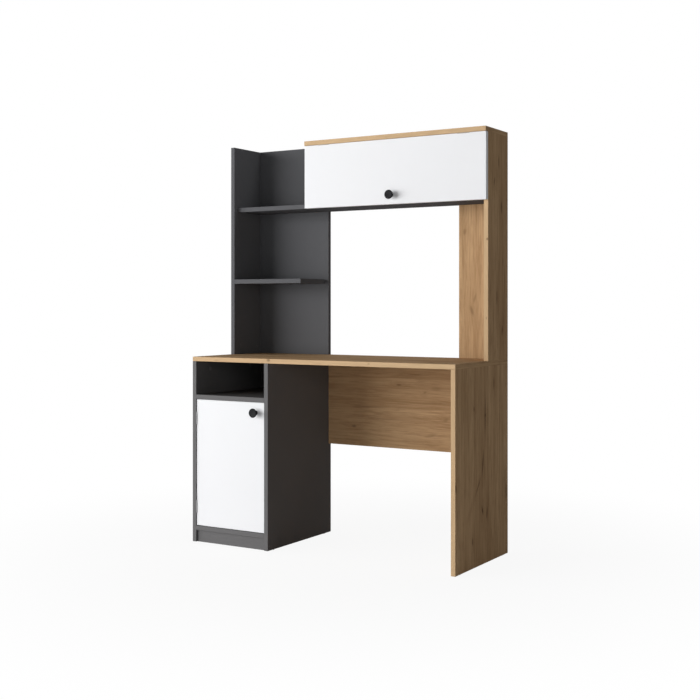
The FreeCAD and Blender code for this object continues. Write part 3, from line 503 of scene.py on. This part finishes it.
OAK_BOARDS = (
    ("desktop", X, Y, 3.1, DESKTOP_MARKS, DESKTOP_SPOTS),
    ("cabinet_top", X, Y, 7.7, LID_MARKS, ()),
    ("modesty_panel", X, Z, 12.4, MODESTY_MARKS, ()),
    ("right_leg", Z, Y, 18.2, LEG_MARKS, ()),
    ("hutch_right_side", Z, Y, 23.9, SIDE_MARKS, SIDE_SPOTS),
    ("hutch_right_rail", Z, X, 31.3, RAIL_MARKS, ()),
)
HUTCH_BOARDS = (
    "hutch_left_side", "hutch_lower_back", "hutch_upper_back", "hutch_short_shelf", "hutch_long_shelf",
    "cabinet_left_side",
)
PEDESTAL_BOARDS = (
    "pedestal_left_side", "pedestal_right_side", "pedestal_bottom", "pedestal_shelf", "pedestal_plinth",
    "pedestal_inner_shelf",
)
CAPPED_BOARDS = HUTCH_BOARDS + PEDESTAL_BOARDS + tuple(board[0] for board in OAK_BOARDS)
STEEL_FITTINGS = (
    "hinge_pins", "door_hinge_screws", "flap_hinge_screws", "hinge_frame_screws", "door_knob_screw",
    "flap_knob_screw", "stay_levers", "stay_links", "stay_brackets", "stay_pivot_pins", "stay_elbow_pins",
    "stay_bracket_pins", "stay_screws", "stay_bracket_screws", "cam_bolts", "shelf_pins",
)


# Modelling

MERGE_DISTANCE = 0.00002
CAP_SIDES = 20
CAP_STEPS = (0.15, 0.35, 0.30)
CAP_SMOOTH = math.radians(40.0)


def deselect():
    if bpy.context.mode != "OBJECT":
        bpy.ops.object.mode_set(mode="OBJECT")
    bpy.ops.object.select_all(action="DESELECT")


def take(*pieces):
    """Select these pieces alone."""
    deselect()
    for piece in pieces:
        piece.select_set(True)
    bpy.context.view_layer.objects.active = pieces[0]


def pick_top(piece):
    """In edit mode, select the face that looks straight up and lies highest."""
    bpy.ops.object.mode_set(mode="OBJECT")
    top = max(piece.data.polygons, key=lambda face: (face.center.z, face.normal.z))
    for group in (piece.data.vertices, piece.data.edges, piece.data.polygons):
        for part in group:
            part.select = False
    top.select = True
    bpy.ops.object.mode_set(mode="EDIT")


def loose_boxes(node):
    """The lowest and highest corner of each separate solid in a node of the frame."""
    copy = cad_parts[node].copy()
    copy.data = copy.data.copy()
    bpy.context.scene.collection.objects.link(copy)
    take(copy)
    bpy.ops.object.mode_set(mode="EDIT")
    bpy.ops.mesh.select_all(action="SELECT")
    bpy.ops.mesh.remove_doubles(threshold=MERGE_DISTANCE)
    bpy.ops.mesh.separate(type="LOOSE")
    bpy.ops.object.mode_set(mode="OBJECT")
    boxes = []
    for piece in bpy.context.selected_objects:
        columns = list(zip(*(vertex.co for vertex in piece.data.vertices)))
        boxes.append([Vector(pick(values) for values in columns) for pick in (min, max)])
    bpy.ops.object.delete()
    return boxes


def open_end(box):
    """The board that holds a cam lock, and the middle and direction of the lock's end in its face."""
    low, high = box
    middle = (low + high) / 2
    for board in CAPPED_BOARDS:
        board_low, board_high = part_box(board)
        if all(board_low[axis] < middle[axis] < board_high[axis] for axis in range(3)):
            ends = [(abs(corner[axis] - wall[axis]), axis, corner[axis], turn) for axis in range(3)
                    for corner, wall, turn in ((low, board_low, -1.0), (high, board_high, 1.0))]
            axis, level, turn = min(ends)[1:]
            middle[axis] = level
            way = Vector((0.0, 0.0, 0.0))
            way[axis] = turn
            return board, middle, way
    raise RuntimeError("a cam lock lies in no board")


# Operators

class DESK_OT_oak_boards(bpy.types.Operator):
    """Finish the desktop, leg, modesty panel and the hutch's oak boards"""
    bl_idname = "desk.oak_boards"
    bl_label = "Oak Boards"

    def execute(self, context):
        for board, *figure in OAK_BOARDS:
            dress(oak_finish(context.scene.desk_oak, board, *figure), board)
        return {"FINISHED"}


class DESK_OT_dark_boards(bpy.types.Operator):
    """Finish the anthracite boards of the pedestal and the open shelves, and the thin backs"""
    bl_idname = "desk.dark_boards"
    bl_label = "Dark Boards"

    def execute(self, context):
        look = context.scene.desk_boards
        for board in HUTCH_BOARDS:
            dress(laminate_finish("anthracite", board, look.anthracite, 1.0, **MATT), board)
        for board in PEDESTAL_BOARDS:
            # The pedestal's boards get the darker copy of the anthracite as painted shade, and their
            # front faces are painted lighter as painted light
            dress(laminate_finish("anthracite", board, look.pedestal, look.painted_front_light, **MATT), board)
        for board in ("pedestal_back", "cabinet_back"):
            dress(laminate_finish("hardboard", board, look.hardboard, 1.0, **RAW), board)
        return {"FINISHED"}


class DESK_OT_white_doors(bpy.types.Operator):
    """Finish the pedestal's door and the cabinet's flap"""
    bl_idname = "desk.white_doors"
    bl_label = "White Doors"

    def execute(self, context):
        look = context.scene.desk_boards
        for board in ("pedestal_door", "flap_door"):
            dress(laminate_finish("white", board, look.white, 1.0, **SATIN), board)
        return {"FINISHED"}


class DESK_OT_knobs(bpy.types.Operator):
    """Finish the two black knobs"""
    bl_idname = "desk.knobs"
    bl_label = "Knobs"

    def execute(self, context):
        look = context.scene.desk_fittings
        dress(moulded_finish("knob_black", look.knob, 0.46, 0.06, 0.07), "door_knob", "flap_knob")
        return {"FINISHED"}


class DESK_OT_fittings(bpy.types.Operator):
    """Finish the hinges, stays, fasteners and glides"""
    bl_idname = "desk.fittings"
    bl_label = "Fittings"

    def execute(self, context):
        look = context.scene.desk_fittings
        dress(metal_finish("nickel_steel", look.nickel, 0.26, 0.12), *STEEL_FITTINGS)
        dress(metal_finish("cast_zinc", look.zinc, 0.42, 0.10), "cam_locks")
        slate = moulded_finish("hinge_slate", look.slate, 0.42, 0.04, 0.2)
        dress(slate, "door_hinge_frame_leaves", "door_hinge_leaves")
        bronze = moulded_finish("hinge_bronze", look.bronze, 0.42, 0.04, 0.2)
        dress(bronze, "flap_hinge_frame_leaves", "flap_hinge_leaves")
        plastic = moulded_finish("grey_plastic", look.plastic, 0.46, 0.12, 0.35)
        dress(plastic, "stay_housings", "floor_glides")
        dress(beech_finish("bare_beech", look.beech), "dowels")
        return {"FINISHED"}


class DESK_OT_cam_caps(bpy.types.Operator):
    """Press a thin cover cap over each cam lock except those on the rear face, in the colour of its board
    """
    bl_idname = "desk.cam_caps"
    bl_label = "Cam Caps"

    def execute(self, context):
        look = context.scene.desk_fittings
        caps = {"dark": [], "oak": []}
        oak = [board[0] for board in OAK_BOARDS]
        pattern = self.cap(look)
        for box in loose_boxes("cam_locks"):
            board, middle, way = open_end(box)
            if middle.y > CAD_BOX[1][Y] - look.cap_radius and way.y > FACING:
                continue  # on the rear face a cap would stand past the solids' box
            take(pattern)
            bpy.ops.object.duplicate()
            cap = bpy.context.active_object
            cap.location = middle
            cap.rotation_euler = way.to_track_quat("Z", "Y").to_euler()
            bpy.ops.object.transform_apply(location=True, rotation=True, scale=True)
            caps["oak" if board in oak else "dark"].append(cap)
        take(pattern)
        bpy.ops.object.delete()
        for name, colour in (("oak", look.oak_cap), ("dark", look.dark_cap)):
            finish = moulded_finish(name + "_cap", colour, 0.60, 0.08, 0.04)
            take(*caps[name])
            bpy.ops.object.join()
            piece = bpy.context.active_object
            piece.name = "cam_caps_" + name
            piece.data.materials.append(finish.material)
            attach(piece, "desk")
        return {"FINISHED"}

    def cap(self, look):
        """A low round cap with a crowned top, on the ground at the origin."""
        deselect()
        bpy.ops.mesh.primitive_cylinder_add(
            vertices=CAP_SIDES, radius=look.cap_radius, depth=look.cap_rim,
            location=(0.0, 0.0, look.cap_rim / 2))
        cap = bpy.context.active_object
        bpy.ops.object.transform_apply(location=True, rotation=True, scale=True)
        for share in CAP_STEPS:
            pick_top(cap)
            bpy.ops.mesh.inset(thickness=look.cap_radius * share)
            bpy.ops.transform.translate(value=(0.0, 0.0, look.cap_crown / len(CAP_STEPS)))
        bpy.ops.object.mode_set(mode="OBJECT")
        bpy.ops.object.shade_smooth_by_angle(angle=CAP_SMOOTH)
        return cap


# Lamps: the name of their power among the stage's looks, their place, what they face, their width
# and height, and how far their light fans out, in degrees

LAMPS = (
    ("key", (-6.55, -4.59, 1.75), (0.0, 0.0, 0.90), (10.4, 3.5), 180.0),
    ("side", (4.01, -4.46, 1.30), (0.0, 0.0, 0.90), (3.0, 2.0), 180.0),
    ("back", (-2.20, 4.60, 0.38), (0.0, 0.2, 0.80), (3.2, 0.6), 180.0),
    ("top", (-0.35, 2.1, 3.3), (0.0, 0.05, 0.95), (2.4, 1.8), 180.0),
    ("crown", (0.55, 0.5, 3.0), (-0.45, 0.1, 1.4), (0.6, 0.6), 70.0),
)
WHITE = (1.0, 1.0, 1.0, 1.0)
FILL_COLOUR = (0.98, 0.99, 1.0, 1.0)
FLOOR_COLOURS = ((0.79, 0.79, 0.79, 1.0), (0.82, 0.82, 0.82, 1.0))
FLOOR_SIZE = 24.0
SHADOW_FADE = (0.5, 2.0)
SENSOR_WIDTH = 36.0
LEVEL = math.radians(90.0)


class DESK_OT_stage(bpy.types.Operator):
    """Set up the floor, the light and the camera"""
    bl_idname = "desk.stage"
    bl_label = "Stage"

    def execute(self, context):
        look = context.scene.desk_stage
        self.floor(look)
        self.sky(context, look)
        for name, place, target, size, spread in LAMPS:
            self.lamp(name + "_lamp", place, target, size, getattr(look, name), math.radians(spread))
        self.camera(context, look)
        context.scene.view_settings.view_transform = "Standard"
        return {"FINISHED"}

    def floor(self, look):
        deselect()
        bpy.ops.mesh.primitive_plane_add(size=FLOOR_SIZE, location=(0.0, 0.0, 0.0))
        floor = bpy.context.active_object
        floor.name = "floor"
        finish = Finish("pale_floor")
        x, y, z = finish.at
        speck = finish.noise(finish.point(x, y, z), 3.0, 2.0, 0.5)
        colour = finish.blend(speck, *FLOOR_COLOURS)
        finish.surface(Base_Color=colour, Roughness=0.9, Specular_IOR_Level=0.0)
        glow = finish.node("ShaderNodeEmission", inputs={"Color": WHITE, "Strength": 1.0})
        lit = Wire(finish, finish.shader.outputs["BSDF"])
        fade = finish.ease((x * x + y * y) ** 0.5, *SHADOW_FADE)
        white = finish.either(fade, 1 - look.shade, 1.0)
        mixed = finish.node("ShaderNodeMixShader", inputs={0: finish.seen() * white, 1: lit, 2: glow})
        finish.plug(finish.output.inputs["Surface"], mixed)
        floor.data.materials.append(finish.material)

    def sky(self, context, look):
        world = bpy.data.worlds.new("studio")
        context.scene.world = world
        sky = Nodes(world, "ShaderNodeOutputWorld")
        fill = sky.node("ShaderNodeBackground", inputs={"Color": FILL_COLOUR, "Strength": look.fill})
        white = sky.node("ShaderNodeBackground", inputs={"Color": WHITE, "Strength": 1.0})
        mixed = sky.node("ShaderNodeMixShader", inputs={0: sky.seen(), 1: fill, 2: white})
        sky.plug(sky.output.inputs["Surface"], mixed)

    def lamp(self, name, place, target, size, power, spread):
        deselect()
        bpy.ops.object.light_add(type="AREA", location=place)
        lamp = bpy.context.active_object
        lamp.name = name
        lamp.data.shape = "RECTANGLE"
        lamp.data.size, lamp.data.size_y = size
        lamp.data.energy = power
        lamp.data.spread = spread
        lamp.rotation_euler = (Vector(target) - Vector(place)).to_track_quat("-Z", "Y").to_euler()
        lamp.visible_camera = False
        lamp.visible_glossy = place[Y] < 0  # a lamp behind gives no glare on boards seen from the front

    def camera(self, context, look):
        deselect()
        bpy.ops.object.camera_add(location=look.camera, rotation=(LEVEL, 0.0, look.turn))
        camera = bpy.context.active_object
        camera.name = "photo_camera"
        camera.data.sensor_fit = "HORIZONTAL"
        camera.data.sensor_width = SENSOR_WIDTH
        camera.data.lens = look.lens
        camera.data.shift_y = look.shift
        context.scene.camera = camera


class DESK_PT_looks(bpy.types.Panel):
    """Looks of the desk"""
    bl_idname = "DESK_PT_looks"
    bl_label = "Desk"
    bl_space_type = "VIEW_3D"
    bl_region_type = "UI"
    bl_category = "Desk"

    def draw(self, context):
        for step in STEPS:
            self.layout.operator(step.bl_idname)


STEPS = (
    DESK_OT_oak_boards,
    DESK_OT_dark_boards,
    DESK_OT_white_doors,
    DESK_OT_knobs,
    DESK_OT_fittings,
    DESK_OT_cam_caps,
    DESK_OT_stage,
)
LOOKS = (
    ("desk_oak", OakLook),
    ("desk_boards", BoardLook),
    ("desk_fittings", FittingLook),
    ("desk_stage", StageLook),
)


def register():
    for name, look in LOOKS:
        bpy.utils.register_class(look)
        setattr(bpy.types.Scene, name, bpy.props.PointerProperty(type=look))
    for step in STEPS:
        bpy.utils.register_class(step)
    bpy.utils.register_class(DESK_PT_looks)


def unregister():
    bpy.utils.unregister_class(DESK_PT_looks)
    for step in reversed(STEPS):
        bpy.utils.unregister_class(step)
    for name, look in reversed(LOOKS):
        delattr(bpy.types.Scene, name)
        bpy.utils.unregister_class(look)


def main():
    register()
    bpy.ops.desk.oak_boards()
    bpy.ops.desk.dark_boards()
    bpy.ops.desk.white_doors()
    bpy.ops.desk.knobs()
    bpy.ops.desk.fittings()
    bpy.ops.desk.cam_caps()
    bpy.ops.desk.stage()


if __name__ == "__main__":
    main()
